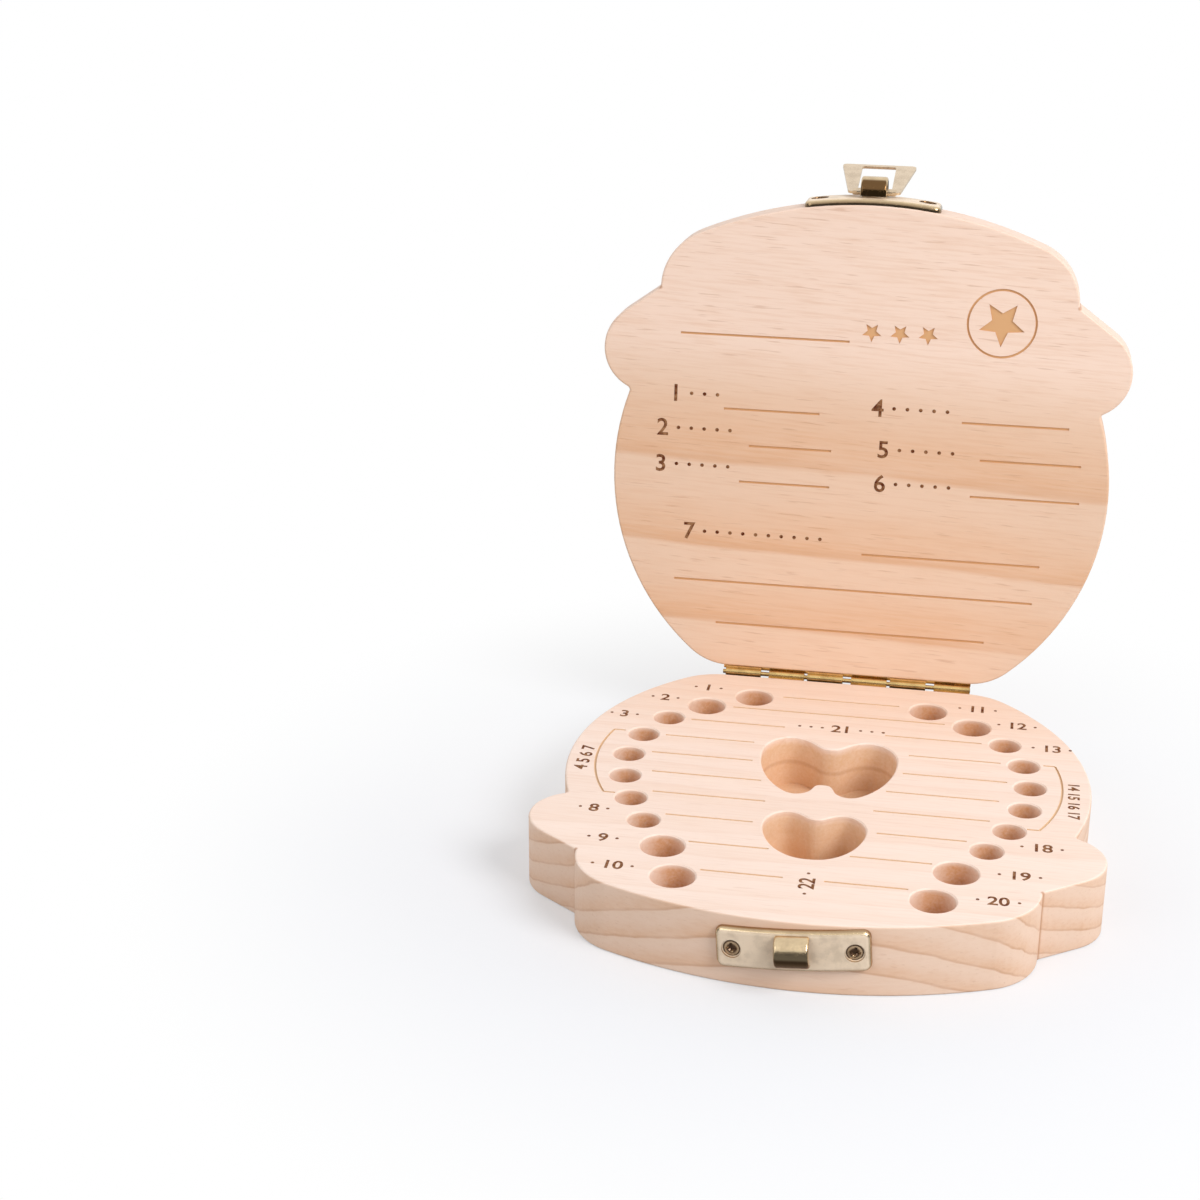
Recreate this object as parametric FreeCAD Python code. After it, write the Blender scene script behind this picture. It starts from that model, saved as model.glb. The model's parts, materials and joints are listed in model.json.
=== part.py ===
"""Hinged wooden keepsake box for milk teeth, modelled standing open.

Millimetres, +Z up. The origin is the middle of the base block's underside, +X points to
the right and +Y to the hinge. The lid and its metalwork are drawn shut and then swung open.
"""
import FreeCAD
import Part
import math
import os

# Case
case_width = 122.0            # ear tip to ear tip
case_depth = 112.5            # hinge edge to chin
base_height = 16.0
lid_thickness = 9.0
seam_gap = 0.15               # lid above base when shut
lid_open_angle = 96.0         # degrees from shut
edge_ease = 0.5               # rounding of the long wooden edges

# Head-shaped outline
back_flat_width = 57.6        # straight run along the hinge edge
back_corner_radius = 14.0
ear_radius = 10.4
ear_lift = 14.75              # ear centre above the notch below it
ear_proud = 0.57              # ear centre outside the skull's edge
jowl_width = 96.0
jowl_radius = 14.0
chin_radius = 100.0
notch_radius = 1.0            # inside corners above and below each ear

# Tooth sockets, listed from the hinge to the chin on one side
front_socket_bore = 7.0
upper_molar_bore = 8.6
lower_molar_bore = 9.4
socket_depth = 11.0
rim_ease = 0.3
socket_bores = [upper_molar_bore] * 2 + [front_socket_bore] * 6 + [lower_molar_bore] * 2
socket_x_shares = (0.336, 0.507, 0.634, 0.706, 0.732, 0.716, 0.666, 0.594, 0.499, 0.433)
socket_y_shares = (0.790, 0.672, 0.534, 0.363, 0.177, -0.009, -0.189, -0.357, -0.542, -0.757)

# Two milled pockets, each drawn as the right half of its outline from the hinge to the chin
pocket_depth = 12.0
upper_pocket_width = 30.4
upper_pocket_length = 27.2
upper_pocket_y = 11.6         # middle of the length
upper_pocket_shares = (
    (0.0, 0.66), (0.26, 0.83), (0.59, 1.0), (0.89, 0.79), (1.0, 0.26), (0.89, -0.35),
    (0.66, -0.80), (0.39, -1.0), (0.19, -0.86), (0.0, -0.63))
heart_pocket_width = 21.9
heart_pocket_length = 20.0
heart_pocket_y = -20.4
heart_pocket_shares = (
    (0.0, 0.73), (0.24, 0.85), (0.56, 1.0), (0.86, 0.80), (1.0, 0.40), (0.97, 0.03),
    (0.86, -0.32), (0.67, -0.65), (0.38, -0.91), (0.0, -1.0))

# Engraving
groove_width = 0.5
groove_depth = 0.3
bracket_tail_length = 2.6
# Base rows: place along the depth, then inner and outer end to each side of the middle
base_row_shares = (
    (0.816, 0.0, 0.225), (0.681, 0.0, 0.405), (0.532, 0.189, 0.548), (0.370, 0.287, 0.623),
    (0.209, 0.275, 0.651), (0.044, 0.225, 0.626), (-0.124, 0.192, 0.598), (-0.299, 0.216, 0.525),
    (-0.494, 0.138, 0.416), (-0.695, 0.069, 0.348))
bracket_arc_shares = ((0.820, 0.381), (0.846, 0.130), (0.770, -0.163))
# Lid rows: place along the depth, then left and right end
lid_row_shares = (
    (-0.441, -0.703, -0.057), (-0.130, -0.526, -0.157), (0.024, -0.423, -0.105),
    (0.180, -0.456, -0.105), (-0.130, 0.384, 0.784), (0.024, 0.461, 0.839),
    (0.180, 0.433, 0.844), (0.462, 0.034, 0.715), (0.624, -0.698, 0.698), (0.809, -0.526, 0.526))
star_waist_share = 0.45       # inner to outer radius of a star
title_star_radius = 2.3
title_star_shares = ((0.025, -0.485), (0.131, -0.485), (0.237, -0.485))
badge_radius = 8.0
badge_star_radius = 5.4
badge_spot_share = (0.507, -0.549)

# Picture engraved on the outside of the lid
picture_margin = 2.0
cloud_radius = 12.0
cloud_y_share = 0.16
cloud_x_shares = (-0.76, -0.38, 0.0, 0.38, 0.76)
moon_radius = 11.5
moon_bite_radius = 9.5
moon_bite_offset = 6.0
moon_spot_share = (-0.40, 0.55)
sky_star_radius = 6.5
sky_star_shares = ((0.05, 0.72), (0.42, 0.60), (0.20, 0.40), (-0.08, 0.33), (0.62, 0.30))
low_heart_radius = 2.6
low_heart_lobe_share = 1.15
low_heart_tip_share = 0.5
low_heart_shares = ((-0.34, -0.50), (0.0, -0.62), (0.34, -0.50))
ear_dot_radius = 4.6

# Hinge
hinge_length = 59.5
knuckle_count = 6
knuckle_gap = 1.4
base_knuckle_shift_share = 0.45   # of the gap, how far the base's knuckles sit to the right
barrel_radius = 1.0
barrel_standoff = 0.5         # barrel clear of the wood behind it
pin_radius = 0.5
running_clearance = 0.05
leaf_thickness = 1.0
leaf_width = 7.2              # pin axis to the leaf's long edge
leaf_corner_radius = 0.8
leaf_clearance = 0.25
leaf_screw_reach = 4.7        # pin axis to the screws
leaf_screw_spread = 24.5      # middle screw to an end screw

# Latch plates
plate_width = 31.0
plate_thickness = 1.4
plate_corner_radius = 1.7
plate_round_share = 0.85      # of the thickness, the broad rounding of a plate's margins
plate_seat = 0.05
keeper_height = 9.2
keeper_drop = 6.1             # keeper's middle below the base's top face
keeper_tilt = 4.3             # degrees, the keeper sits askew on the chin
latch_plate_height = 8.4
plate_screw_spread = 12.15    # middle of a plate to a screw, round the curve
plate_screw_dimple_radius = 2.05
plate_screw_sink = 0.35       # rim of a screw's head below the plate's face
hook_radius = 3.4
hook_wall = 0.7
hook_round_share = 0.85       # of the wall, the rounding of the hook's side edges
hook_slot = 0.5               # gap between the hook's free end and its plate
keeper_hook_width = 7.0
keeper_hook_rise = 0.4        # keeper's hook above the middle of its plate
latch_hook_width = 6.0
latch_hook_neck = 1.2         # straight part between the lid's plate and the hook's curve

# Latch loop
flap_thickness = 0.6
flap_bar_radius = 0.8
flap_standoff = 1.1           # pivot in front of the latch plate
flap_window = 7.8
flap_narrow_width = 11.8
flap_free_width = 17.4
flap_free_bar = 1.1
flap_corner_radius = 1.0
flap_clearance = 0.4          # free bar below the keeper's hook when shut
flap_open_angle = 164.5       # degrees from shut

# Screws
plate_screw_head_radius = 1.75
plate_screw_shank_radius = 0.95
plate_screw_length = 8.0
leaf_screw_head_radius = 1.5
leaf_screw_shank_radius = 0.8
leaf_screw_length = 6.5
screw_crown = 0.25            # dome of a head
crown_middle_share = 0.75     # dome's height halfway out
screw_seat = 0.04             # play around a head and a shank
cross_width_share = 0.34      # of the head's radius
cross_length_share = 1.4
cross_depth = 0.6
cross_cone_share = 0.46       # round middle of the cross, of the head's radius

overrun = 1.0                 # how far cutting tools reach past a face
touching = 0.0001             # two places this near count as one

# Derived places
half_width = case_width / 2
half_depth = case_depth / 2
lid_bottom = base_height + seam_gap
lid_top = lid_bottom + lid_thickness
hinge_axis = FreeCAD.Vector(0, half_depth + barrel_standoff + barrel_radius, base_height + seam_gap / 2)
chin_centre_y = chin_radius - half_depth
plate_face_radius = chin_radius + plate_seat + plate_thickness
plate_face_y = chin_centre_y - plate_face_radius
keeper_z = base_height - keeper_drop
keeper_hook_z = keeper_z + keeper_hook_rise
latch_z = lid_bottom + lid_thickness / 2
flap_axis = FreeCAD.Vector(0, plate_face_y - flap_standoff, latch_z)
keeper_hook_lean = keeper_hook_width / 2 * math.sin(math.radians(keeper_tilt))
flap_length = latch_z - (keeper_hook_z - hook_radius - keeper_hook_lean) + flap_clearance + flap_free_bar
opening_axis = FreeCAD.Vector(-1, 0, 0)
up = FreeCAD.Vector(0, 0, 1)
side_axis = FreeCAD.Vector(1, 0, 0)
chin_axis = FreeCAD.Vector(0, -1, 0)
origin = FreeCAD.Vector(0, 0, 0)


def spot(x_share, y_share, z=0.0):
    """A place given as shares of the case's half width and half depth."""
    return FreeCAD.Vector(x_share * half_width, y_share * half_depth, z)


def mirrored(shape):
    return shape.mirror(origin, side_axis)


def arc(start, middle, end):
    return Part.Arc(start, middle, end).toShape()


def line(start, end):
    return Part.LineSegment(start, end).toShape()


def on_circle(centre, radius, towards):
    """The point of a circle that lies towards another point."""
    return centre + (towards - centre).normalize() * radius


def prism(edges, z, height):
    """A solid standing on the closed outline of the given edges."""
    face = Part.Face(Part.Wire(Part.sortEdges(edges)[0]))
    solid = face.extrude(up * height)
    solid.translate(up * z)
    return solid


def tangent_point(outside, centre, radius):
    """Where a line from an outside point touches a circle, on the line's right."""
    away = outside - centre
    reach = away.Length
    along = away.normalize()
    across = FreeCAD.Vector(-along.y, along.x, 0)
    leg = math.sqrt(reach * reach - radius * radius)
    return centre + along * (radius * radius / reach) + across * (radius * leg / reach)


def upper_crossing(centre_a, radius_a, centre_b, radius_b):
    """The crossing of two circles that lies nearer the hinge."""
    span = centre_b - centre_a
    reach = span.Length
    along = (radius_a ** 2 - radius_b ** 2 + reach ** 2) / (2 * reach)
    across = math.sqrt(radius_a ** 2 - along ** 2)
    span.normalize()
    return centre_a + span * along + FreeCAD.Vector(-span.y, span.x, 0) * across


def skull_centre(corner, ear):
    """Centre of the circle that runs into the back corner and passes just inside the ear's centre."""
    step = back_corner_radius + ear_proud
    rise = 2 * (corner.y - ear.y)
    rest = ear.x ** 2 + ear.y ** 2 - corner.x ** 2 - corner.y ** 2
    a = (rest / step - step) / 2
    b = rise / (2 * step)
    square = b * b - 1
    half = corner.y + a * b
    free = corner.x ** 2 + corner.y ** 2 - a * a
    return FreeCAD.Vector(0, (math.sqrt(half * half + square * free) - half) / square, 0)


def outline_points():
    """Joints of the right half of the head outline, from the chin to the hinge edge."""
    chin = FreeCAD.Vector(0, chin_centre_y, 0)
    jowl_x = jowl_width / 2 - jowl_radius
    jowl_y = chin_centre_y - math.sqrt((chin_radius - jowl_radius) ** 2 - jowl_x ** 2)
    jowl = FreeCAD.Vector(jowl_x, jowl_y, 0)
    lower_notch = jowl + side_axis * jowl_radius
    ear = FreeCAD.Vector(half_width - ear_radius, jowl_y + ear_lift, 0)
    corner = FreeCAD.Vector(back_flat_width / 2, half_depth - back_corner_radius, 0)
    skull = skull_centre(corner, ear)
    skull_radius = (ear - skull).Length - ear_proud
    return {
        "skull": skull, "ear": ear, "jowl": jowl, "corner": corner,
        "skull_side": skull + side_axis * skull_radius,
        "chin_end": on_circle(chin, chin_radius, jowl),
        "lower_notch": lower_notch,
        "ear_start": tangent_point(lower_notch, ear, ear_radius),
        "upper_notch": upper_crossing(skull, skull_radius, ear, ear_radius),
        "corner_start": on_circle(skull, skull_radius, corner),
        "corner_end": FreeCAD.Vector(back_flat_width / 2, half_depth, 0),
    }


def head_edges():
    """The closed head outline as arcs and straight runs."""
    p = outline_points()
    chin_tip = FreeCAD.Vector(0, -half_depth, 0)
    jowl_middle = on_circle(p["jowl"], jowl_radius, (p["chin_end"] + p["lower_notch"]) * 0.5)
    ear_tip = p["ear"] + side_axis * ear_radius
    corner_middle = on_circle(p["corner"], back_corner_radius, (p["corner_start"] + p["corner_end"]) * 0.5)
    right = [
        arc(chin_tip, on_circle(FreeCAD.Vector(0, chin_centre_y, 0), chin_radius,
                                (chin_tip + p["chin_end"]) * 0.5), p["chin_end"]),
        arc(p["chin_end"], jowl_middle, p["lower_notch"]),
        line(p["lower_notch"], p["ear_start"]),
        arc(p["ear_start"], ear_tip, p["upper_notch"]),
        arc(p["upper_notch"], p["skull_side"], p["corner_start"]),
        arc(p["corner_start"], corner_middle, p["corner_end"]),
        line(p["corner_end"], FreeCAD.Vector(0, half_depth, 0)),
    ]
    return right + [mirrored(edge) for edge in right]


def same_place(a, b):
    return math.hypot(a.x - b.x, a.y - b.y) < touching


def head_block(z, height):
    """A wooden blank of the head outline with its notches and long edges eased."""
    blank = prism(head_edges(), z, height).removeSplitter()
    p = outline_points()
    corners = [p["lower_notch"], p["upper_notch"]]
    corners += [FreeCAD.Vector(-c.x, c.y, 0) for c in corners]
    notches = [e for e in blank.Edges
               if same_place(e.Vertexes[0].Point, e.Vertexes[-1].Point)
               and any(same_place(e.Vertexes[0].Point, c) for c in corners)]
    blank = blank.makeFillet(notch_radius, notches)
    flat = [e for e in blank.Edges if e.BoundBox.ZLength < edge_ease / 2]
    return blank.makeFillet(edge_ease, flat)


def tapered_slot(start, start_radius, end, end_radius, z, height):
    """A slot with two round ends of different size."""
    along = end - start
    lean = math.asin((start_radius - end_radius) / along.Length)
    along.normalize()
    across = FreeCAD.Vector(-along.y, along.x, 0)
    left = across * math.cos(lean) + along * math.sin(lean)
    right = along * math.sin(lean) - across * math.cos(lean)
    edges = [
        arc(start + left * start_radius, start - along * start_radius, start + right * start_radius),
        line(start + right * start_radius, end + right * end_radius),
        arc(end + right * end_radius, end + along * end_radius, end + left * end_radius),
        line(end + left * end_radius, start + left * start_radius),
    ]
    return prism(edges, z, height)


def twin_slots(y, length, broad_offset, broad_radius, narrow_offset, narrow_radius, z, height):
    """Two mirrored tapered slots run together: a heart or a butterfly outline."""
    lean = narrow_offset - broad_offset
    start = FreeCAD.Vector(broad_offset, y, 0)
    end = FreeCAD.Vector(narrow_offset, y - math.sqrt(length ** 2 - lean ** 2), 0)
    slot = tapered_slot(start, broad_radius, end, narrow_radius, z, height)
    return slot.fuse(mirrored(slot)).removeSplitter()


def pocket(y, width, length, shares):
    """The hollow of one pocket: a smooth curve through its half outline, and its mirror image."""
    points = [FreeCAD.Vector(x * width / 2, y + y_share * length / 2, 0) for x, y_share in shares]
    curve = Part.BSplineCurve()
    curve.interpolate(points, InitialTangent=side_axis, FinalTangent=-side_axis)
    half = curve.toShape()
    return prism([half, mirrored(half)], base_height - pocket_depth, pocket_depth + overrun)


def sockets():
    """Hollows of the tooth sockets with their rims eased."""
    hollows = []
    for bore, x_share, y_share in zip(socket_bores, socket_x_shares, socket_y_shares):
        for side in (-1, 1):
            radius = bore / 2
            foot = spot(side * x_share, y_share, base_height - socket_depth)
            hollows.append(Part.makeCylinder(radius, socket_depth + overrun, foot))
            rim = spot(side * x_share, y_share, base_height - rim_ease)
            hollows.append(Part.makeCone(radius, radius + 2 * rim_ease, 2 * rim_ease, rim))
    return hollows


def groove(start, end, z, depth):
    """A straight ruled groove along X between two places."""
    corner = FreeCAD.Vector(min(start.x, end.x), start.y - groove_width / 2, z)
    return Part.makeBox(abs(end.x - start.x), groove_width, depth, corner)


def arc_groove(start, middle, end, z, depth):
    """A curved ruled groove through three places."""
    curve = arc(start, middle, end).Curve
    centre = curve.Center
    inner = [on_circle(centre, curve.Radius - groove_width / 2, p) for p in (start, middle, end)]
    outer = [on_circle(centre, curve.Radius + groove_width / 2, p) for p in (start, middle, end)]
    return prism([arc(*inner), line(inner[2], outer[2]), arc(*outer), line(outer[0], inner[0])], z, depth)


def base_grooves():
    """Ruled rows and the two side brackets on the base's top face."""
    z = base_height - groove_depth
    depth = groove_depth + overrun
    tools = []
    top, middle, bottom = [spot(*share, 0.0) for share in bracket_arc_shares]
    bracket = [arc_groove(top, middle, bottom, z, depth)]
    for end in (top, bottom):
        bracket.append(groove(end - side_axis * bracket_tail_length, end, z, depth))
    for y_share, inner_share, outer_share in base_row_shares:
        if inner_share > 0:
            bracket.append(groove(spot(inner_share, y_share), spot(outer_share, y_share), z, depth))
        else:
            tools.append(groove(spot(-outer_share, y_share), spot(outer_share, y_share), z, depth))
    return tools + bracket + [mirrored(tool) for tool in bracket]


def star(centre, radius, z, depth):
    """A plain five-pointed star."""
    points = []
    for step in range(10):
        reach = radius if step % 2 == 0 else radius * star_waist_share
        turn = math.pi * (step / 5 + 0.5)
        points.append(centre + FreeCAD.Vector(math.cos(turn), math.sin(turn), 0) * reach)
    return prism([line(points[i - 1], points[i]) for i in range(10)], z, depth)


def lid_grooves():
    """Ruled rows, a row of small stars and a ringed star on the lid's inner face."""
    z = lid_bottom - overrun
    depth = groove_depth + overrun
    tools = [groove(spot(left, y_share), spot(right, y_share), z, depth)
             for y_share, left, right in lid_row_shares]
    tools += [star(spot(*share), title_star_radius, z, depth) for share in title_star_shares]
    badge = spot(*badge_spot_share, z)
    ring = Part.makeCylinder(badge_radius, depth, badge)
    ring = ring.cut(Part.makeCylinder(badge_radius - groove_width, depth, badge))
    return tools + [ring, star(spot(*badge_spot_share), badge_star_radius, z, depth)]


def lid_picture():
    """Shallow night sky above clouds, small hearts and ear dots on the lid's outer face."""
    z = lid_top - groove_depth
    depth = groove_depth + overrun
    sky = Part.Face(Part.Wire(Part.sortEdges(head_edges())[0]).makeOffset2D(-picture_margin))
    sky = sky.extrude(up * depth)
    sky.translate(up * z)
    cloud_edge = cloud_y_share * half_depth
    above = Part.makeBox(case_width, case_depth, depth, FreeCAD.Vector(-half_width, cloud_edge, z))
    puffs = [Part.makeCylinder(cloud_radius, depth, spot(share, cloud_y_share, z))
             for share in cloud_x_shares]
    moon = Part.makeCylinder(moon_radius, depth, spot(*moon_spot_share, z))
    bite = spot(*moon_spot_share, z) + side_axis * moon_bite_offset
    moon = moon.cut(Part.makeCylinder(moon_bite_radius, depth, bite))
    stars = [star(spot(*share), sky_star_radius, z, depth) for share in sky_star_shares]
    sky = sky.common(above.fuse(puffs)).cut([moon] + stars)
    hearts = []
    for share in low_heart_shares:
        heart = twin_slots(0, 2 * low_heart_radius, low_heart_radius,
                           low_heart_lobe_share * low_heart_radius,
                           0, low_heart_tip_share * low_heart_radius, z, depth)
        heart.translate(spot(*share))
        hearts.append(heart)
    ear = outline_points()["ear"]
    dots = [Part.makeCylinder(ear_dot_radius, depth, FreeCAD.Vector(side * ear.x, ear.y, z))
            for side in (-1, 1)]
    return [sky] + hearts + dots


def aimed(shape, place, outward):
    """A shape made along +Z, moved so that +Z points outward at a place."""
    shape = shape.copy()
    shape.Placement = FreeCAD.Placement(place, FreeCAD.Rotation(up, outward))
    return shape


def screw(head_radius, shank_radius, length):
    """A countersunk cross-head screw, head at the origin, shank towards -Z."""
    sink = head_radius - shank_radius
    tip = 2 * shank_radius
    profile = [(0, screw_crown), (head_radius, 0), (shank_radius, -sink),
               (shank_radius, tip - length), (0, -length)]
    points = [FreeCAD.Vector(x, 0, z) for x, z in profile]
    crown_middle = FreeCAD.Vector(head_radius / 2, 0, crown_middle_share * screw_crown)
    edges = [arc(points[0], crown_middle, points[1])]
    edges += [line(points[i], points[i + 1]) for i in range(1, 4)]
    edges.append(line(points[4], points[0]))
    body = Part.Face(Part.Wire(edges)).revolve(origin, up, 360)
    slot_width = cross_width_share * head_radius
    slot_length = cross_length_share * head_radius
    bar = Part.makeBox(slot_length, slot_width, cross_depth + overrun,
                       FreeCAD.Vector(-slot_length / 2, -slot_width / 2, -cross_depth))
    cone_radius = cross_cone_share * head_radius
    cone = Part.makeCone(slot_width / 2, cone_radius, cross_depth, FreeCAD.Vector(0, 0, -cross_depth))
    mouth = Part.makeCylinder(cone_radius, overrun)
    return body.cut([bar, bar.rotated(origin, up, 90), cone, mouth])


def screw_hole(head_radius, shank_radius, length):
    """The space a screw takes up, with its play, open at the head."""
    sink = head_radius - shank_radius
    hole = Part.makeCone(shank_radius + screw_seat, head_radius + screw_seat, sink,
                         FreeCAD.Vector(0, 0, -sink))
    hole = hole.fuse(Part.makeCylinder(head_radius + screw_seat, overrun))
    shank = Part.makeCylinder(shank_radius + screw_seat, length + screw_seat - sink / 2,
                              FreeCAD.Vector(0, 0, -length - screw_seat))
    return hole.fuse(shank)


def plate_screw_seats(z, tilt, sink):
    """Places and outward directions of a latch plate's two screws, sunk below its face."""
    seats = []
    lean = math.radians(tilt)
    for side in (-1, 1):
        turn = side * plate_screw_spread * math.cos(lean) / chin_radius
        outward = FreeCAD.Vector(math.sin(turn), -math.cos(turn), 0)
        middle = FreeCAD.Vector(0, chin_centre_y, z + side * plate_screw_spread * math.sin(lean))
        seats.append((middle + outward * (plate_face_radius - sink), outward))
    return seats


def leaf_screw_seats(side):
    """Places and outward directions of a hinge leaf's three screws."""
    y = half_depth + leaf_thickness
    z = hinge_axis.z + side * leaf_screw_reach
    outward = FreeCAD.Vector(0, 1, 0)
    return [(FreeCAD.Vector(step * leaf_screw_spread, y, z), outward) for step in (-1, 0, 1)]


def plate_screw_holes(z, tilt):
    hole = screw_hole(plate_screw_head_radius, plate_screw_shank_radius, plate_screw_length)
    return [aimed(hole, *seat) for seat in plate_screw_seats(z, tilt, plate_screw_sink)]


def plate_dimples(z, tilt):
    """The round hollows in a latch plate round its screw heads."""
    dimple = Part.makeCylinder(plate_screw_dimple_radius, overrun)
    return [aimed(dimple, *seat) for seat in plate_screw_seats(z, tilt, plate_screw_sink)]


def leaf_screw_holes(side):
    hole = screw_hole(leaf_screw_head_radius, leaf_screw_shank_radius, leaf_screw_length)
    return [aimed(hole, *seat) for seat in leaf_screw_seats(side)]


def plate_screws(z, tilt):
    one = screw(plate_screw_head_radius, plate_screw_shank_radius, plate_screw_length)
    return Part.Compound([aimed(one, *seat) for seat in plate_screw_seats(z, tilt, plate_screw_sink)])


def leaf_screws(side):
    one = screw(leaf_screw_head_radius, leaf_screw_shank_radius, leaf_screw_length)
    return Part.Compound([aimed(one, *seat) for seat in leaf_screw_seats(side)])


def base_block():
    upper = pocket(upper_pocket_y, upper_pocket_width, upper_pocket_length, upper_pocket_shares)
    heart = pocket(heart_pocket_y, heart_pocket_width, heart_pocket_length, heart_pocket_shares)
    block = head_block(0, base_height).cut([upper, heart])
    rims = [e for e in block.Edges
            if abs(e.BoundBox.ZMin - base_height) < touching
            and any(hollow.BoundBox.isInside(e.CenterOfMass) for hollow in (upper, heart))]
    block = block.makeChamfer(rim_ease, rims)
    return block.cut(sockets() + base_grooves() + leaf_screw_holes(-1)
                     + plate_screw_holes(keeper_z, keeper_tilt))


def lid_panel():
    panel = head_block(lid_bottom, lid_thickness)
    tools = lid_grooves() + lid_picture() + leaf_screw_holes(1) + plate_screw_holes(latch_z, 0)
    return panel.cut(tools)


def hinge_leaf(side, first, shift):
    """A leaf on the back edge, below the pin (side -1) or above it (side 1), with its knuckles."""
    relief = barrel_radius + leaf_clearance
    tongue_depth = max(leaf_thickness, barrel_standoff + barrel_radius / 2)
    z_ends = sorted((hinge_axis.z + side * relief, hinge_axis.z + side * leaf_width))
    leaf = Part.makeBox(hinge_length, leaf_thickness, z_ends[1] - z_ends[0],
                        FreeCAD.Vector(-hinge_length / 2, half_depth, z_ends[0]))
    corners = [e for e in leaf.Edges if e.BoundBox.YLength > leaf_thickness / 2
               and abs(e.CenterOfMass.z - hinge_axis.z) > relief + leaf_clearance]
    leaf = leaf.makeFillet(leaf_corner_radius, corners)
    pitch = hinge_length / knuckle_count
    width = pitch - knuckle_gap
    for index in range(first, knuckle_count, 2):
        x = -hinge_length / 2 + index * pitch + knuckle_gap / 2 + shift
        z = min(hinge_axis.z, hinge_axis.z + side * relief)
        tongue = Part.makeBox(width, tongue_depth, relief, FreeCAD.Vector(x, half_depth, z))
        barrel = Part.makeCylinder(barrel_radius, width, hinge_axis + side_axis * x, side_axis)
        leaf = leaf.fuse([tongue, barrel])
    bore = Part.makeCylinder(pin_radius + running_clearance, hinge_length + 2 * overrun,
                             hinge_axis - side_axis * (hinge_length / 2 + overrun), side_axis)
    return leaf.cut([bore] + leaf_screw_holes(side)).removeSplitter()


def hinge_pin():
    return Part.makeCylinder(pin_radius, hinge_length, hinge_axis - side_axis * (hinge_length / 2), side_axis)


def hook_block(radius, width, z, neck):
    """The solid inside a hook's outer or inner face: a straight neck that ends in a half round."""
    x = -width / 2
    back_y = plate_face_y + plate_thickness / 2
    neck_y = plate_face_y - neck
    top_back = FreeCAD.Vector(x, back_y, z + radius)
    top_front = FreeCAD.Vector(x, neck_y, z + radius)
    nose = FreeCAD.Vector(x, neck_y - radius, z)
    bottom_front = FreeCAD.Vector(x, neck_y, z - radius)
    bottom_back = FreeCAD.Vector(x, back_y, z - radius)
    outline = Part.Wire([Part.makeLine(top_back, top_front),
                         Part.Arc(top_front, nose, bottom_front).toShape(),
                         Part.makeLine(bottom_front, bottom_back),
                         Part.makeLine(bottom_back, top_back)])
    return Part.Face(outline).extrude(side_axis * width)


def hook(z, width, neck):
    """A rounded strap that leaves a latch plate above and ends just short of it below."""
    strap = hook_block(hook_radius, width, z, neck)
    rims = [e for e in strap.Edges if e.BoundBox.XLength < hook_wall / 2 and e.BoundBox.YMin < plate_face_y]
    strap = strap.makeFillet(hook_round_share * hook_wall, rims)
    strap = strap.cut(hook_block(hook_radius - hook_wall, width, z, neck))
    slot = Part.makeBox(width, hook_slot + plate_thickness, hook_radius,
                        FreeCAD.Vector(-width / 2, plate_face_y - hook_slot, z - hook_radius))
    return strap.cut(slot)


def chin_plate(z, height, own_hook, tilt):
    """A plate bent round the chin, with rounded margins, two sunk screw holes and its hook."""
    middle = FreeCAD.Vector(0, 0, z)
    corner = FreeCAD.Vector(-plate_width / 2, -half_depth - plate_width, z - height / 2)
    blank = Part.makeBox(plate_width, 2 * plate_width, height, corner)
    corners = [e for e in blank.Edges if e.BoundBox.YLength > plate_width]
    blank = blank.makeFillet(plate_corner_radius, corners).rotated(middle, chin_axis, tilt)
    foot = FreeCAD.Vector(0, chin_centre_y, z - height)
    shell = Part.makeCylinder(plate_face_radius, 2 * height, foot)
    shell = shell.cut(Part.makeCylinder(chin_radius + plate_seat, 2 * height, foot))
    plate = blank.common(shell)
    limit = plate_face_radius - plate_thickness / 4
    rims = [e for e in plate.Edges
            if all(math.hypot(v.X, v.Y - chin_centre_y) > limit for v in e.Vertexes)]
    plate = plate.makeFillet(plate_round_share * plate_thickness, rims)
    plate = plate.fuse(own_hook.rotated(middle, chin_axis, tilt))
    return plate.cut(plate_screw_holes(z, tilt) + plate_dimples(z, tilt)).removeSplitter()


def latch_flap():
    """The trapezoid loop, drawn hanging shut: a narrow pivot bar, two arms and a free bar."""
    top = flap_axis.z + flap_bar_radius
    bottom = flap_axis.z - flap_length
    y = flap_axis.y - flap_thickness / 2
    corners = [(-flap_narrow_width / 2, top), (flap_narrow_width / 2, top),
               (flap_free_width / 2, bottom), (-flap_free_width / 2, bottom)]
    points = [FreeCAD.Vector(x, y, z) for x, z in corners]
    face = Part.Face(Part.makePolygon(points + points[:1]))
    plate = face.extrude(FreeCAD.Vector(0, flap_thickness, 0))
    plate = plate.makeFillet(flap_corner_radius,
                             [e for e in plate.Edges if e.BoundBox.YLength > flap_thickness / 2])
    sill = bottom + flap_free_bar
    window = Part.makeBox(flap_window, flap_thickness + 2 * overrun, top + overrun - sill,
                          FreeCAD.Vector(-flap_window / 2, y - overrun, sill))
    window = window.makeFillet(flap_corner_radius / 2,
                               [e for e in window.Edges if e.BoundBox.YLength > flap_thickness
                                and e.CenterOfMass.z < flap_axis.z])
    bar_length = (flap_window + flap_narrow_width) / 2
    bar = Part.makeCylinder(flap_bar_radius, bar_length,
                            FreeCAD.Vector(-bar_length / 2, flap_axis.y, flap_axis.z), side_axis)
    return plate.cut(window).fuse(bar).removeSplitter()


def opened(shape):
    """A shape drawn on the shut lid, swung open with it."""
    return shape.rotated(hinge_axis, opening_axis, lid_open_angle)


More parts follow.
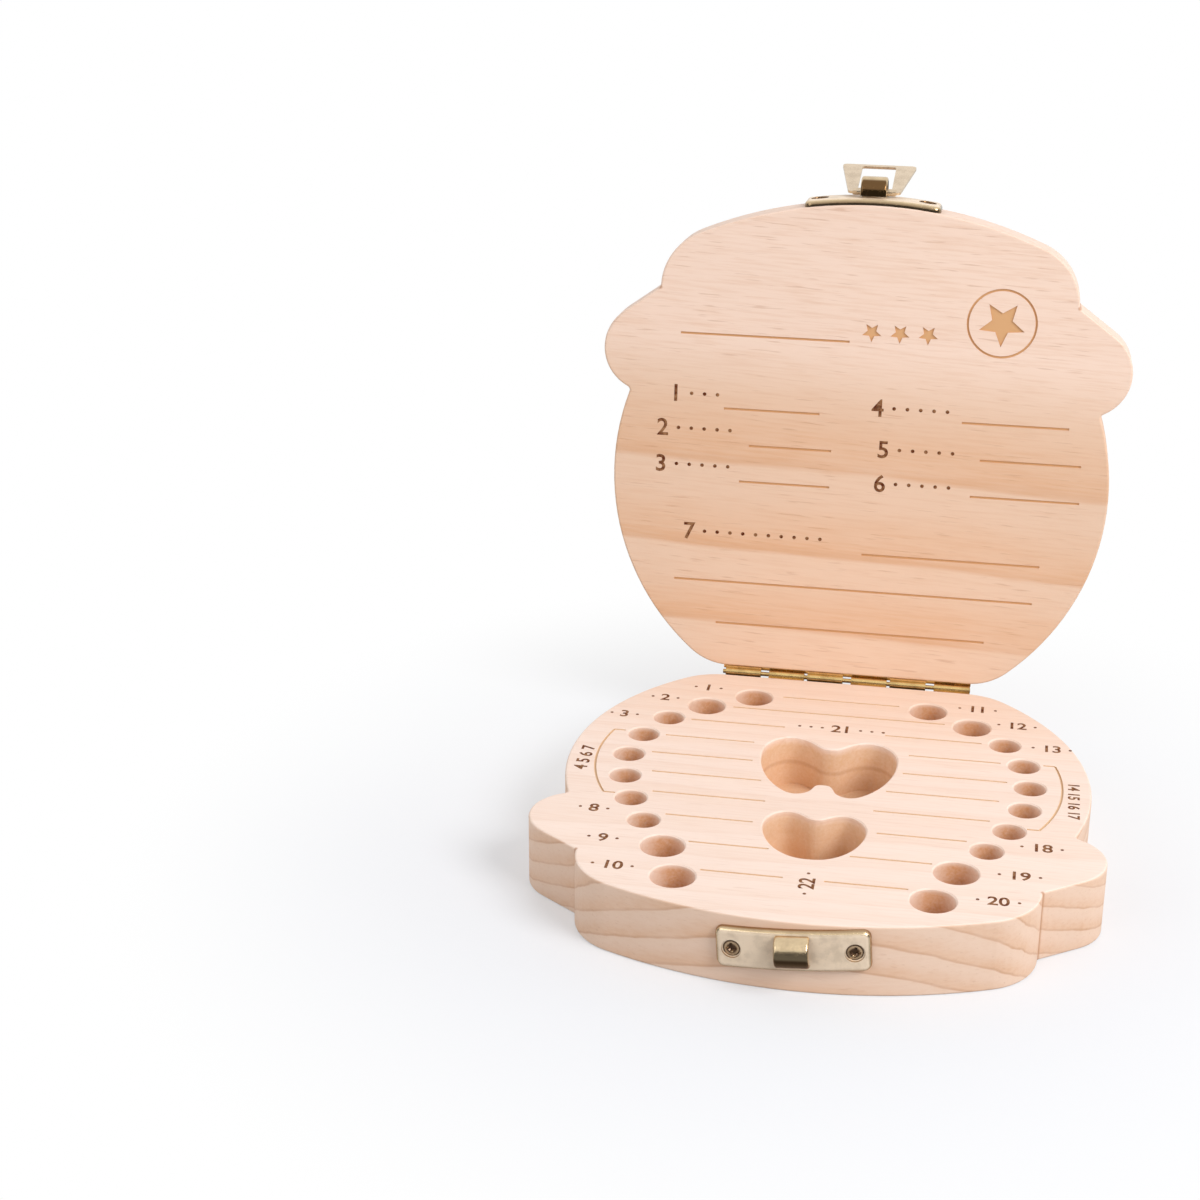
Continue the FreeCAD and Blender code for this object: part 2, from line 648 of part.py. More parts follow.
parts = {
    "base_block": base_block(),
    "lid_panel": opened(lid_panel()),
    "hinge_leaf_base": hinge_leaf(-1, 1, base_knuckle_shift_share * knuckle_gap),
    "hinge_leaf_lid": opened(hinge_leaf(1, 0, 0)),
    "hinge_pin": hinge_pin(),
    "hinge_screws_base": leaf_screws(-1),
    "hinge_screws_lid": opened(leaf_screws(1)),
    "keeper_plate": chin_plate(keeper_z, keeper_height,
                               hook(keeper_hook_z, keeper_hook_width, 0), keeper_tilt),
    "keeper_screws": plate_screws(keeper_z, keeper_tilt),
    "latch_plate": opened(chin_plate(latch_z, latch_plate_height,
                                     hook(latch_z, latch_hook_width, latch_hook_neck), 0)),
    "latch_screws": opened(plate_screws(latch_z, 0)),
    "latch_flap": opened(latch_flap().rotated(flap_axis, opening_axis, flap_open_angle)),
}

os.makedirs("parts", exist_ok=True)
for name, shape in parts.items():
    shape.exportStep(os.path.join("parts", name + ".step"))
    print(name, "solids", len(shape.Solids), "volume", round(shape.Volume, 1), "valid", shape.isValid())
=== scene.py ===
import json
import math

import bpy
from mathutils import Matrix, Vector


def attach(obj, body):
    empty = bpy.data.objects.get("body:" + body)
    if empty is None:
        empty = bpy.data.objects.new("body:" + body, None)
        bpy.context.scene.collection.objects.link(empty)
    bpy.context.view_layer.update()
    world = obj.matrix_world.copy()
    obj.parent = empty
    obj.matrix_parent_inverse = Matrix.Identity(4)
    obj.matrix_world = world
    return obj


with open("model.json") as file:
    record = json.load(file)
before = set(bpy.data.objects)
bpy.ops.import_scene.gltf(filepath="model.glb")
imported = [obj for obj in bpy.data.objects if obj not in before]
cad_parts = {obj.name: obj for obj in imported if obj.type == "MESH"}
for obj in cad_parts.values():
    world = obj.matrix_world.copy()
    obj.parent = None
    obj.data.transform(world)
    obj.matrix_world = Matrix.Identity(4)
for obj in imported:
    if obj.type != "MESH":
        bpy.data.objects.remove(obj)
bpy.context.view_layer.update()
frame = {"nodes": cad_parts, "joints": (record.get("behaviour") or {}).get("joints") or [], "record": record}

# Blender's lengths are metres
MM = 0.001
PER_MM = 1 / MM

# Sizes of the box, as in the part's source
CASE_DEPTH = 112.5 * MM
BASE_HEIGHT = 16.0 * MM
LID_THICKNESS = 9.0 * MM
SEAM_GAP = 0.15 * MM
LID_OPEN = math.radians(96.0)
JOWL_WIDTH = 96.0 * MM
CHIN_RADIUS = 100.0 * MM
POCKET_DEPTH = 12.0 * MM
GROOVE_DEPTH = 0.3 * MM
BARREL_RADIUS = 1.0 * MM
PLATE_THICKNESS = 1.4 * MM
PLATE_SEAT = 0.05 * MM
LID_INSIDE = BASE_HEIGHT + SEAM_GAP
LID_OUTSIDE = LID_INSIDE + LID_THICKNESS

# Moves between the lid as it stands open and the lid shut
HINGE_LINE = Vector(next(joint["pos_m"] for joint in frame["joints"] if joint["name"] == "lid_hinge"))
SHUT_TURN = (LID_OPEN, 0.0, 0.0)
SHUT_MOVE = HINGE_LINE - Matrix.Rotation(LID_OPEN, 3, "X") @ HINGE_LINE
SWING_OPEN = (Matrix.Translation(HINGE_LINE) @ Matrix.Rotation(-LID_OPEN, 4, "X")
              @ Matrix.Translation(-HINGE_LINE))
FLIP_OVER = Matrix.Rotation(math.pi, 4, "X")
KEEPER_OUTWARD = Vector((0.0, -1.0, 0.0))
LATCH_OUTWARD = SWING_OPEN.to_3x3() @ KEEPER_OUTWARD

# Places where a finish changes
LEVEL_SLACK = 0.02 * MM
FINISH_MARGIN = 0.1 * MM
HOLLOW_MARGIN = 0.5 * MM
SOCKET_MARGIN = 0.7 * MM
SOCKET_TONE_DEPTH = 1.5 * MM
POCKET_TONE_DEPTH = 2.2 * MM
POCKET_REACH = 35.0 * MM
HOLLOW_BOTTOM = POCKET_DEPTH + HOLLOW_MARGIN
CREASE_DEPTH = 6.3 * MM
NOTCH_DOWN = 35.24 * MM
NOTCH_CORNER = (JOWL_WIDTH / 2, -NOTCH_DOWN, 0.0)
CHIN_CENTRE = (0.0, CHIN_RADIUS - CASE_DEPTH / 2, 0.0)
PLATE_FACE = CHIN_RADIUS + PLATE_SEAT + PLATE_THICKNESS
SCREW_HEAD_TILT = 0.6 * MM
FAR_AWAY = 1.0

# Stretches over which a finish changes, from start to end
# painted shade along the upper pocket's crease
CREASE_FADE = (0.9 * MM, 0.05 * MM)
NOTCH_FADE = (0.65 * MM, 0.15 * MM)
# painted shade and bounce light from the standing lid on the base's top, growing towards the hinge
BASE_LID_SHADE_RUN = (12.0 * MM, 54.0 * MM)
LID_WARMING = (-28.0 * MM, -6.0 * MM)
# painted shade in the screws' cross recesses and round their heads
SCREW_CROSS_FADE = (1.25 * MM, 0.95 * MM)
SCREW_RIM_FADE = (1.40 * MM, 1.60 * MM)

# Slopes, as the upright part of a surface's normal
NEARLY_LEVEL = 0.95
NEARLY_UPRIGHT = 0.05
# painted shade under the chin plates' hooks begins below these slopes
KEEPER_SHADE_SLOPE = 0.05
LATCH_SHADE_SLOPE = -0.45
SHADE_SLOPE_FADE = 0.2

# Growth rings, in millimetres, and shares of one ring's width
BASE_PITH = (0.0, -14.0, 46.0)
BASE_RING_SPACING = 4.5
BASE_RING_SHIFT = 0.0
BASE_WAVER = 6.0
LID_PITH = (0.0, -45.0, -44.0)
LID_RING_SPACING = 15.5
LID_RING_SHIFT = -2.0
LID_WAVER = 4.0
LID_GRAIN_TURN = (0.0, 0.0, math.radians(-2.5))
RING_RAGGEDNESS = 0.9
LATE_WOOD_SHARE = 0.15
RING_LINE_SHARE = 0.84
RING_PEAK_SHARE = 0.95

# Repeats of each pattern per millimetre, along X, Y and Z where they differ
WAVER_REPEATS = (0.011, 0.02, 0.02)
RAGGED_REPEATS = (0.04, 0.35, 0.35)
PATCH_REPEATS = (0.02, 0.12, 0.12)
STREAK_REPEATS = (0.09, 1.5, 1.5)
FIBRE_REPEATS = (0.25, 6.0, 6.0)
PORE_REPEATS = (0.13, 2.2, 2.2)
CLOUD_REPEATS = (0.012, 0.03, 0.03)
TOOL_MARK_REPEAT = 1.5
TARNISH_REPEAT = 0.32
SPECK_REPEAT = 2.6
BRUSHED_REPEATS = (0.25, 3.0, 9.0)
SCRATCH_REPEATS = (1.4, 0.2, 5.0)
SCRATCH_HALF_WIDTH = 0.012
SCORCH_REPEAT = 1.1

# Most of a noise lies between these two values
NOISE_LOW = 0.3
NOISE_HIGH = 0.7

# Strengths of the wood's marks: on the base's top face and its sides, then on the lid
BASE_RING_LINES = (0.04, 0.40)
BASE_BANDS = (0.14, 0.60)
BASE_STREAKS = 0.16
LID_RING_LINES = 0.16
LID_BANDS = 0.85
LID_STREAKS = 0.34

# Tan of the milled walls, in a pocket and in a socket: first for walls that don't face along X, then
# for those that do. The sockets' walls facing along X take less tan, as painted light on the lit side.
OTHER_WALL_TAN = (0.72, 0.85)
X_WALL_TAN = (0.68, 0.22)

# How much of what lies under it each dark or tan mark covers
# painted shade on the pockets' deep floors and along the upper pocket's crease
POCKET_SHADE_COVER = 0.36
DEEP_FLOOR_SHARE = 0.6
NOTCH_COVER = 0.75
ETCHED_COVER = 0.75
# painted shade, with some grime, under the hinge's knuckles
KNUCKLE_SHADE_AND_GRIME_COVER = 0.85
# painted shade along the chin plates' margins
MARGIN_SHADE_COVER = 0.7
# painted shade in the screws' crosses and round their heads
SCREW_SHADE_COVER = 0.85
SCORCH_PALEST = 0.48

# Gloss, from dull to polished or from early to late wood where there are two values
WOOD_ROUGHNESS = (0.58, 0.48)
WOOD_SHINE = 0.28
LETTER_ROUGHNESS = (0.65, 0.85)
LETTER_SHINE = 0.15
CHIN_PLATE_ROUGHER = (0.22, -0.08)
CHIN_PLATE_METALLIC = (0.15, 1.0)
GRIME_ROUGHER = 0.3
BRASS_METALLIC = 1.0
LOOP_METALLIC = 0.8
SCREW_METALLIC = 0.5
BRASS_WEAR = 0.4
NICKEL_WEAR = 0.3
SCREW_WEAR = 0.4

# Fine relief
WOOD_RELIEF = 0.06 * MM
WOOD_RELIEF_STRENGTH = 0.35
METAL_RELIEF = 0.03 * MM
METAL_RELIEF_STRENGTH = 0.4

# Burnt numbers
CAPITAL_SHARE = 0.70
LETTER_RISE = 0.02 * MM
STROKE_GROWTH = 0.09 * MM
CURVE_STEPS = 4

# Studio floor: its shadow round the box, and what polished metal sees of it
FLOOR_SIZE = 8.0
FLOOR_DROP = 0.02 * MM
SHADOW_FADE = (70.0 * MM, 160.0 * MM)
SHADOW_RUN = (-30.0 * MM, 50.0 * MM)
GLEAM_RUN = (-68.0 * MM, -56.0 * MM)
GLEAM_FADE = (56.0 * MM, 75.0 * MM)

# The photograph's camera
CAMERA_PLACE = Vector((34.57, -451.40, 253.58)) * MM
CAMERA_TURN = [math.radians(angle) for angle in (66.867, -0.154, 10.623)]
CAMERA_LENS = 69.555
CAMERA_SENSOR = 36.0
CAMERA_NEAREST = 0.01
CAMERA_FURTHEST = 50.0


def linear(red, green, blue):
    """A colour given as 0 to 255 screen values, for a shader socket."""
    values = []
    for level in (red, green, blue):
        share = level / 255
        values.append(share / 12.92 if share <= 0.04045 else ((share + 0.055) / 1.055) ** 2.4)
    return (*values, 1.0)


# Wood colours
BASE_PALE = linear(251, 230, 217)
# tone of the sawn sides, also painted on the base's top near the hinge as shade and bounce from the lid
SIDE_TONE_AND_LID_SHADE = linear(242, 212, 191)
LID_PALE = linear(250, 224, 208)
LID_WARM = linear(236, 203, 178)
PINE_BAND = linear(226, 176, 136)
PINE_LINE = linear(190, 138, 104)
PINE_STREAK = linear(222, 176, 142)
# tan of the milled walls: the cut wood's tone, partly painted shade of the hollows
POCKET_WALL = linear(228, 184, 134)
# painted shade on the pockets' deep floors and crease
POCKET_PAINTED_SHADE = linear(196, 142, 100)
SOCKET_WALL = linear(218, 160, 110)
RULED_BASE = linear(232, 201, 164)
RULED_LID = linear(221, 172, 124)
ETCHED_TAN = linear(229, 183, 134)
LETTER_BURN = linear(92, 40, 18)

# Metal colours
BRASS_GOLD = linear(222, 188, 126)
BRASS_WORN = linear(130, 98, 54)
# painted shade, with some grime, for the knuckles' downward sides
BRASS_SHADE_AND_GRIME = linear(62, 44, 26)
NICKEL_FACE = linear(251, 229, 203)
NICKEL_PALE = linear(224, 200, 162)
NICKEL_DULL = linear(150, 128, 102)
LOOP_PALE = linear(225, 204, 176)
# painted shade for the chin plates' margins and the undersides of their hooks
KEEPER_PAINTED_SHADE = linear(150, 116, 84)
LATCH_PAINTED_SHADE = linear(112, 84, 54)
SCREW_BROWN = linear(230, 198, 160)
# tarnish of the screws, and painted shade in their crosses and round their heads
SCREW_TARNISH_AND_SHADE = linear(78, 46, 28)

# Studio colours, as strengths of light
WHITE = (1.0, 1.0, 1.0, 1.0)
BLACK = (0.0, 0.0, 0.0, 1.0)
FLOOR_BOUNCE = (0.46, 0.45, 0.44, 1.0)
SHADOW_TINT = (0.97, 0.985, 1.03, 1.0)

# Kinds of sockets on a node group
VECTOR = "NodeSocketVector"
VALUE = "NodeSocketFloat"
COLOUR = "NodeSocketColor"


class Nodes:
    """Short calls for adding and linking nodes in one tree."""

    def __init__(self, tree):
        self.tree = tree

    def add(self, kind, **settings):
        node = self.tree.nodes.new(kind)
        for name, value in settings.items():
            setattr(node, name, value)
        return node

    def link(self, source, target):
        self.tree.links.new(source, target)

    def feed(self, socket, value):
        """Links another node's output to a socket, or sets a plain value there."""
        if isinstance(value, bpy.types.NodeSocket):
            self.link(value, socket)
        else:
            socket.default_value = value

    def math(self, operation, a, b=None, clamp=False):
        node = self.add("ShaderNodeMath", operation=operation, use_clamp=clamp)
        self.feed(node.inputs[0], a)
        if b is not None:
            self.feed(node.inputs[1], b)
        return node.outputs[0]

    def vector(self, operation, a, b=None, scale=None):
        node = self.add("ShaderNodeVectorMath", operation=operation)
        self.feed(node.inputs[0], a)
        if b is not None:
            self.feed(node.inputs[1], b)
        if scale is not None:
            self.feed(node.inputs["Scale"], scale)
        return node.outputs["Value" if operation in ("LENGTH", "DOT_PRODUCT") else "Vector"]

    def apart(self, vector):
        """A vector's X, Y and Z, each under its letter."""
        node = self.add("ShaderNodeSeparateXYZ")
        self.link(vector, node.inputs[0])
        return node.outputs

    def place(self):
        """Where on its piece the surface is."""
        return self.add("ShaderNodeTexCoord").outputs["Object"]

    def normal(self):
        """Which way the surface faces."""
        return self.add("ShaderNodeTexCoord").outputs["Normal"]

    def in_millimetres(self, place):
        return self.vector("SCALE", place, scale=PER_MM)

    def right_half(self, place):
        """A place seen from above with its X made positive, for what both halves share."""
        across = self.vector("MULTIPLY", self.vector("ABSOLUTE", place), (1.0, 0.0, 0.0))
        return self.vector("ADD", across, self.vector("MULTIPLY", place, (0.0, 1.0, 0.0)))

    def noise(self, vector, scale, detail=2.0, roughness=0.5):
        node = self.add("ShaderNodeTexNoise")
        self.feed(node.inputs["Vector"], vector)
        self.feed(node.inputs["Scale"], scale)
        self.feed(node.inputs["Detail"], detail)
        self.feed(node.inputs["Roughness"], roughness)
        return node.outputs["Fac"]

    def stretched_noise(self, place, repeats, detail=2.0, roughness=0.5):
        return self.noise(self.vector("MULTIPLY", place, repeats), 1.0, detail, roughness)

    def remap(self, value, low, high, to_low=0.0, to_high=1.0, smooth=False):
        node = self.add("ShaderNodeMapRange", interpolation_type="SMOOTHSTEP" if smooth else "LINEAR")
        self.feed(node.inputs["Value"], value)
        self.feed(node.inputs["From Min"], low)
        self.feed(node.inputs["From Max"], high)
        self.feed(node.inputs["To Min"], to_low)
        self.feed(node.inputs["To Max"], to_high)
        return node.outputs["Result"]

    def blend(self, share, at_none, at_full):
        """A value that goes from one to the other as the share goes from 0 to 1."""
        return self.remap(share, 0.0, 1.0, at_none, at_full)

    def spread(self, noise, lowest, highest):
        """A noise stretched between two values."""
        return self.remap(noise, NOISE_LOW, NOISE_HIGH, lowest, highest)

    def mix(self, factor, a, b, mode="MIX"):
        """Two colours mixed. The node's sockets have shared names, so they are taken by number."""
        node = self.add("ShaderNodeMix", data_type="RGBA", blend_type=mode)
        self.feed(node.inputs[0], factor)
        self.feed(node.inputs[6], a)
        self.feed(node.inputs[7], b)
        return node.outputs[2]

    def bump(self, height, distance, strength):
        node = self.add("ShaderNodeBump")
        self.feed(node.inputs["Height"], height)
        node.inputs["Distance"].default_value = distance
        node.inputs["Strength"].default_value = strength
        return node.outputs["Normal"]

    def ray_masks(self):
        """Masks of the rays that see a thing directly and of those that see it in polished metal."""
        path = self.add("ShaderNodeLightPath").outputs
        direct = self.math("MAXIMUM", path["Is Camera Ray"], path["Is Transmission Ray"])
        return direct, path["Is Glossy Ray"]


def new_group(name, inputs, outputs):
    """A node group with its sockets. Returns the group, its nodes and its two ends."""
    group = bpy.data.node_groups.new(name, "ShaderNodeTree")
    for label, kind in inputs.items():
        group.interface.new_socket(label, in_out="INPUT", socket_type=kind)
    for label, kind in outputs.items():
        group.interface.new_socket(label, in_out="OUTPUT", socket_type=kind)
    nodes = Nodes(group)
    start = nodes.add("NodeGroupInput").outputs
    end = nodes.add("NodeGroupOutput").inputs
    return group, nodes, start, end


def pine_figure_group():
    """Growth rings round a pith that runs along X, with short grain streaks and fine pores.

    Band and Ring Line set how dark the late wood and its sharp outer line are. Tone is the late
    wood's mask.
    """
    group, n, start, end = new_group(
        "pine_figure",
        {"Vector": VECTOR, "Pith": VECTOR, "Ring Spacing": VALUE, "Ring Shift": VALUE,
         "Ring Line": VALUE, "Band": VALUE, "Waver": VALUE, "Streaks": VALUE, "Pale": COLOUR},
        {"Color": COLOUR, "Height": VALUE, "Tone": VALUE})
    place = n.in_millimetres(start["Vector"])
    waver = n.math("SUBTRACT", n.stretched_noise(place, WAVER_REPEATS, 1.0), 0.5)
    ragged = n.math("SUBTRACT", n.stretched_noise(place, RAGGED_REPEATS), 0.5)
    across = n.vector("MULTIPLY", n.vector("SUBTRACT", place, start["Pith"]), (0.0, 1.0, 1.0))
    radius = n.math("ADD", n.vector("LENGTH", across), start["Ring Shift"])
    radius = n.math("ADD", radius, n.math("MULTIPLY", waver, start["Waver"]))
    radius = n.math("ADD", radius, n.math("MULTIPLY", ragged, RING_RAGGEDNESS))
    ring_share = n.math("FRACT", n.math("DIVIDE", radius, start["Ring Spacing"]))
    falloff = n.remap(ring_share, 1.0, RING_PEAK_SHARE)
    late = n.remap(ring_share, LATE_WOOD_SHARE, RING_PEAK_SHARE, smooth=True)
    line = n.remap(ring_share, RING_LINE_SHARE, RING_PEAK_SHARE, smooth=True)
    patchy = n.spread(n.stretched_noise(place, PATCH_REPEATS, 3.0), 0.45, 1.0)
    patchy_ring = n.math("MULTIPLY", falloff, patchy)
    streak = n.stretched_noise(place, STREAK_REPEATS, 4.0, 0.6)
    grainy = n.remap(streak, 0.35, 0.65, 0.8, 1.15)
    pore = n.remap(n.stretched_noise(place, PORE_REPEATS, 1.0), 0.66, 0.76)
    band = n.math("MULTIPLY", n.math("MULTIPLY", late, patchy_ring), grainy)
    band = n.math("MULTIPLY", band, start["Band"], clamp=True)
    line = n.math("MULTIPLY", n.math("MULTIPLY", line, patchy_ring), start["Ring Line"], clamp=True)
    colour = n.mix(band, start["Pale"], PINE_BAND)
    colour = n.mix(line, colour, PINE_LINE)
    colour = n.mix(n.math("MULTIPLY", n.remap(streak, 0.46, 0.74), start["Streaks"]), colour, PINE_STREAK)
    colour = n.mix(n.math("MULTIPLY", pore, start["Streaks"]), colour, PINE_LINE)
    cloud = n.math("MULTIPLY", n.stretched_noise(place, CLOUD_REPEATS, 1.0), 0.7)
    fibre = n.math("MULTIPLY", n.stretched_noise(place, FIBRE_REPEATS), 0.3)
    shade = n.spread(n.math("ADD", cloud, fibre), 0.975, 1.015)
    n.link(n.mix(1.0, colour, shade, "MULTIPLY"), end["Color"])
    n.link(n.math("SUBTRACT", n.math("MULTIPLY", streak, 0.6), n.math("MULTIPLY", pore, 0.5)), end["Height"])
    n.link(band, end["Tone"])
    return group


def engraved_group():
    """Mask of the flat floor and upright walls of an engraving in a level face.

    Level is the face's height along Z. Side is 1 for a face that looks up and -1 for one that
    looks down.
    """
    group, n, start, end = new_group(
        "engraved_mask", {"Vector": VECTOR, "Normal": VECTOR, "Level": VALUE, "Side": VALUE},
        {"Mask": VALUE})
    height = n.apart(start["Vector"])["Z"]
    sunk = n.math("MULTIPLY", n.math("SUBTRACT", start["Level"], height), start["Side"])
    deep_enough = n.math("GREATER_THAN", sunk, LEVEL_SLACK)
    not_deeper = n.math("LESS_THAN", sunk, GROOVE_DEPTH + LEVEL_SLACK)
    tilt = n.math("MULTIPLY", n.apart(start["Normal"])["Z"], start["Side"])
    on_floor = n.math("GREATER_THAN", tilt, NEARLY_LEVEL)
    on_wall = n.math("LESS_THAN", n.math("ABSOLUTE", tilt), NEARLY_UPRIGHT)
    cut_face = n.math("ADD", on_floor, on_wall, clamp=True)
    n.link(n.math("MULTIPLY", n.math("MULTIPLY", deep_enough, not_deeper), cut_face), end["Mask"])
    return group


def right_sockets():
    """Middle and rough radius of each tooth socket on the right, from the record's openings."""
    found = []
    for opening in frame["record"]["physics"]["openings"]:
        low, high = [Vector(corner) for corner in opening["box_m"]]
        middle = (low + high) / 2
        if opening["name"].startswith("socket") and middle.x > 0:
            found.append(((middle.x, middle.y, 0.0), (high.x - low.x) / math.sqrt(2)))
    return found


def milled_group():
    """Masks of the sockets' and pockets' walls, which leave the outer sides alone.

    Inside covers them all, Depth grows down them, sooner in the sockets, and Socket is 1 for the
    sockets alone. Depth carries the cut wood's tan and painted shade of the hollows. Dark is painted
    shade on the pockets' deep floors and along the tool's crease round the upper pocket.
    """
    group, n, start, end = new_group(
        "milled_depth", {"Vector": VECTOR},
        {"Inside": VALUE, "Depth": VALUE, "Socket": VALUE, "Dark": VALUE})
    place = n.apart(start["Vector"])
    flat = n.right_half(start["Vector"])
    outside = FAR_AWAY
    for centre, radius in right_sockets():
        reach = n.vector("LENGTH", n.vector("SUBTRACT", flat, centre))
        outside = n.math("MINIMUM", n.math("SUBTRACT", reach, radius), outside)
    socket = n.math("LESS_THAN", outside, SOCKET_MARGIN)
    pocket = n.math("LESS_THAN", n.vector("LENGTH", flat), POCKET_REACH)
    below_top = n.math("SUBTRACT", BASE_HEIGHT, place["Z"])
    hollow = n.math("MAXIMUM", socket, pocket)
    inside = n.math("MULTIPLY", hollow, n.math("LESS_THAN", below_top, HOLLOW_BOTTOM))
    full_tone = n.blend(socket, POCKET_TONE_DEPTH, SOCKET_TONE_DEPTH)
    # the walls' tan, partly painted shade, grows down the hollows
    depth = n.math("MULTIPLY", n.remap(below_top, 0.0, full_tone, smooth=True), inside)
    tool_marks = n.spread(n.noise(start["Vector"], TOOL_MARK_REPEAT * PER_MM, 3.0, 0.6), 0.72, 1.12)
    off_crease = n.math("ABSOLUTE", n.math("SUBTRACT", below_top, CREASE_DEPTH))
    upper = n.math("MULTIPLY", pocket, n.math("GREATER_THAN", place["Y"], 0.0))
    # painted shade along the crease and on the deep floors
    crease = n.math("MULTIPLY", n.remap(off_crease, *CREASE_FADE, smooth=True), upper)
    deep = n.remap(below_top, CREASE_DEPTH, HOLLOW_BOTTOM, 0.0, DEEP_FLOOR_SHARE, smooth=True)
    dark = n.math("MAXIMUM", crease, n.math("MULTIPLY", deep, pocket))
    n.link(inside, end["Inside"])
    n.link(n.math("MULTIPLY", depth, tool_marks), end["Depth"])
    n.link(socket, end["Socket"])
    n.link(n.math("MULTIPLY", dark, inside), end["Dark"])
    return group


def chin_relief_group():
    """Masks on a chin plate, both for the plate as it lies on the shut box.

    Polish is where it stands proud of its face or turns away from it, as hook, margins and dimples
    do. The second mask is painted shade along the margins and under the hook, below the given slope.
    """
    group, n, start, end = new_group(
        "chin_relief", {"Vector": VECTOR, "Normal": VECTOR, "Clean": VALUE},
        {"Polish": VALUE, "Painted Shade": VALUE})
    outward = n.vector("SUBTRACT", start["Vector"], CHIN_CENTRE)
    outward = n.vector("MULTIPLY", outward, (1.0, 1.0, 0.0))
    proud = n.math("GREATER_THAN", n.vector("LENGTH", outward), PLATE_FACE + FINISH_MARGIN)
    square_on = n.vector("DOT_PRODUCT", n.vector("NORMALIZE", outward), start["Normal"])
    slope = n.apart(start["Normal"])["Z"]
    full_shade_slope = n.math("SUBTRACT", start["Clean"], SHADE_SLOPE_FADE)
    # painted shade under the hook and along the margins
    under_hook = n.math("MULTIPLY", proud, n.remap(slope, start["Clean"], full_shade_slope, smooth=True))
    on_face = n.math("SUBTRACT", 1.0, proud)
    margin = n.math("MULTIPLY", on_face, n.remap(square_on, 0.80, 0.35, 0.0, MARGIN_SHADE_COVER))
    n.link(n.math("MAXIMUM", proud, n.remap(square_on, 0.97, 0.75)), end["Polish"])
    n.link(n.math("MAXIMUM", under_hook, margin), end["Painted Shade"])
    return group


def worn_plating_group():
    """Uneven plating: soft tarnish clouds, brushed streaks and fine scratches."""
    group, n, start, end = new_group(
        "worn_plating", {"Vector": VECTOR, "Bright": COLOUR, "Dull": COLOUR, "Wear": VALUE},
        {"Color": COLOUR, "Roughness": VALUE, "Height": VALUE})
    place = n.in_millimetres(start["Vector"])
    tarnish = n.remap(n.noise(place, TARNISH_REPEAT, 3.0, 0.55), 0.40, 0.72, smooth=True)
    specks = n.remap(n.noise(place, SPECK_REPEAT), 0.64, 0.78, 0.0, 0.5)
    brushed = n.stretched_noise(place, BRUSHED_REPEATS, 3.0)
    off_scratch = n.math("SUBTRACT", n.stretched_noise(place, SCRATCH_REPEATS, 1.0), 0.5)
    scratch = n.remap(n.math("ABSOLUTE", off_scratch), SCRATCH_HALF_WIDTH, 0.0)
    dull = n.math("MULTIPLY", n.math("ADD", tarnish, specks), start["Wear"], clamp=True)
    rough = n.math("ADD", n.spread(brushed, 0.17, 0.26), n.math("MULTIPLY", dull, 0.18))
    height = n.math("SUBTRACT", n.math("MULTIPLY", brushed, 0.4), n.math("MULTIPLY", scratch, 0.6))
    n.link(n.mix(dull, start["Bright"], start["Dull"]), end["Color"])
    n.link(n.math("ADD", rough, n.math("MULTIPLY", scratch, 0.08)), end["Roughness"])
    n.link(height, end["Height"])
    return group


PINE_FIGURE = pine_figure_group()
ENGRAVED = engraved_group()
MILLED = milled_group()
CHIN_RELIEF = chin_relief_group()
WORN_PLATING = worn_plating_group()


def new_material(name):
    """A material, its nodes and its shader."""
    material = bpy.data.materials.new(name)
    material.use_nodes = True
    return material, Nodes(material.node_tree), material.node_tree.nodes["Principled BSDF"]


def place_group(nodes, group, **values):
    """Places a group with its own values, and returns what it puts out."""
    node = nodes.add("ShaderNodeGroup", node_tree=group)
    for label, value in values.items():
        nodes.feed(node.inputs[label.replace("_", " ")], value)
    return node.outputs


def turned(nodes, source, kind, turn, move=(0.0, 0.0, 0.0)):
    """A vector turned and then, if it is a place, moved."""
    node = nodes.add("ShaderNodeMapping", vector_type=kind)
    nodes.link(source, node.inputs["Vector"])
    node.inputs["Rotation"].default_value = turn
    if kind == "POINT":
        node.inputs["Location"].default_value = move
    return node.outputs["Vector"]


def shut_coords(nodes):
    """Place and normal that the surface of the lid, or of a piece on it, has on the shut box."""
    place = turned(nodes, nodes.place(), "POINT", SHUT_TURN, SHUT_MOVE)
    normal = turned(nodes, nodes.normal(), "VECTOR", SHUT_TURN)
    return place, normal


def wood_surface(nodes, shader, figure, colour):
    """Bare sanded wood, a little smoother where the late wood is."""
    nodes.link(colour, shader.inputs["Base Color"])
    nodes.link(nodes.blend(figure["Tone"], *WOOD_ROUGHNESS), shader.inputs["Roughness"])
    nodes.link(nodes.bump(figure["Height"], WOOD_RELIEF, WOOD_RELIEF_STRENGTH), shader.inputs["Normal"])
    shader.inputs["Specular IOR Level"].default_value = WOOD_SHINE


def metal_surface(nodes, shader, plating, colour, roughness, metallic):
    """Plated metal with the plating's own fine relief."""
    nodes.link(colour, shader.inputs["Base Color"])
    nodes.link(roughness, shader.inputs["Roughness"])
    nodes.link(nodes.bump(plating["Height"], METAL_RELIEF, METAL_RELIEF_STRENGTH), shader.inputs["Normal"])
    nodes.feed(shader.inputs["Metallic"], metallic)


def in_ear_notch(nodes, place):
    """Mask of a dark line in the corner below each ear, from a place on the shut box."""
    reach = nodes.vector("LENGTH", nodes.vector("SUBTRACT", nodes.right_half(place), NOTCH_CORNER))
    return nodes.remap(reach, *NOTCH_FADE, 0.0, NOTCH_COVER, smooth=True)


